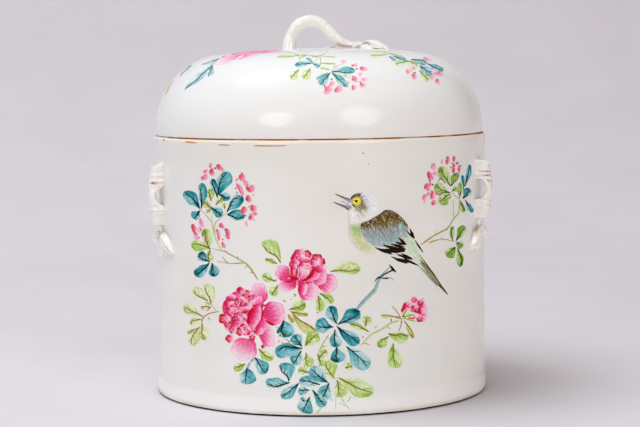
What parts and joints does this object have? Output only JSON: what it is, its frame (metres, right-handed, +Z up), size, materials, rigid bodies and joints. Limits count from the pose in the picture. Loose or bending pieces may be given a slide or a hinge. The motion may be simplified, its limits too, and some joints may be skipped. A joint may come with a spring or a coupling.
{
  "type": "lidded jar",
  "caption": "Cylindrical glazed porcelain jar with a domed lift-off lid, a branch-shaped lid handle and bamboo-stem side lugs, painted with flowers and a bird; stores dry goods.",
  "frame": {"origin": "centre of the foot, on the ground", "axes": "+Z up along the jar's axis, -Y towards the painted front, +X to the right seen from the front"},
  "size_m": [0.273, 0.2716, 0.307],
  "materials": {
    "porcelain_glaze": "gloss",
    "stem_glaze": "gloss",
    "leaf_glaze": "gloss",
    "bare_porcelain": "matt"
  },
  "bodies": {
    "jar": {"jar_wall": "porcelain_glaze", "base_slab": "porcelain_glaze", "mouth_collar": "bare_porcelain", "left_lug_stem": "stem_glaze", "left_lug_twig": "leaf_glaze", "left_lug_leaf_1": "leaf_glaze", "left_lug_leaf_2": "leaf_glaze", "left_lug_leaf_3": "leaf_glaze", "left_lug_leaf_4": "leaf_glaze", "right_lug_stem": "stem_glaze", "right_lug_twig": "leaf_glaze", "right_lug_leaf_1": "leaf_glaze", "right_lug_leaf_2": "leaf_glaze", "right_lug_leaf_3": "leaf_glaze"},
    "lid": {"lid_dome": "porcelain_glaze", "lid_handle": "stem_glaze", "lid_twig": "leaf_glaze", "lid_leaf_1": "leaf_glaze", "lid_leaf_2": "leaf_glaze", "lid_leaf_3": "leaf_glaze", "lid_leaf_4": "leaf_glaze", "lid_back_leaf": "leaf_glaze"}
  },
  "joints": [
    {"name": "lid_lift", "type": "slide", "parent": "jar", "child": "lid", "axis": [0, 0, 1], "range_m": [0, 0.25]}
  ]
}
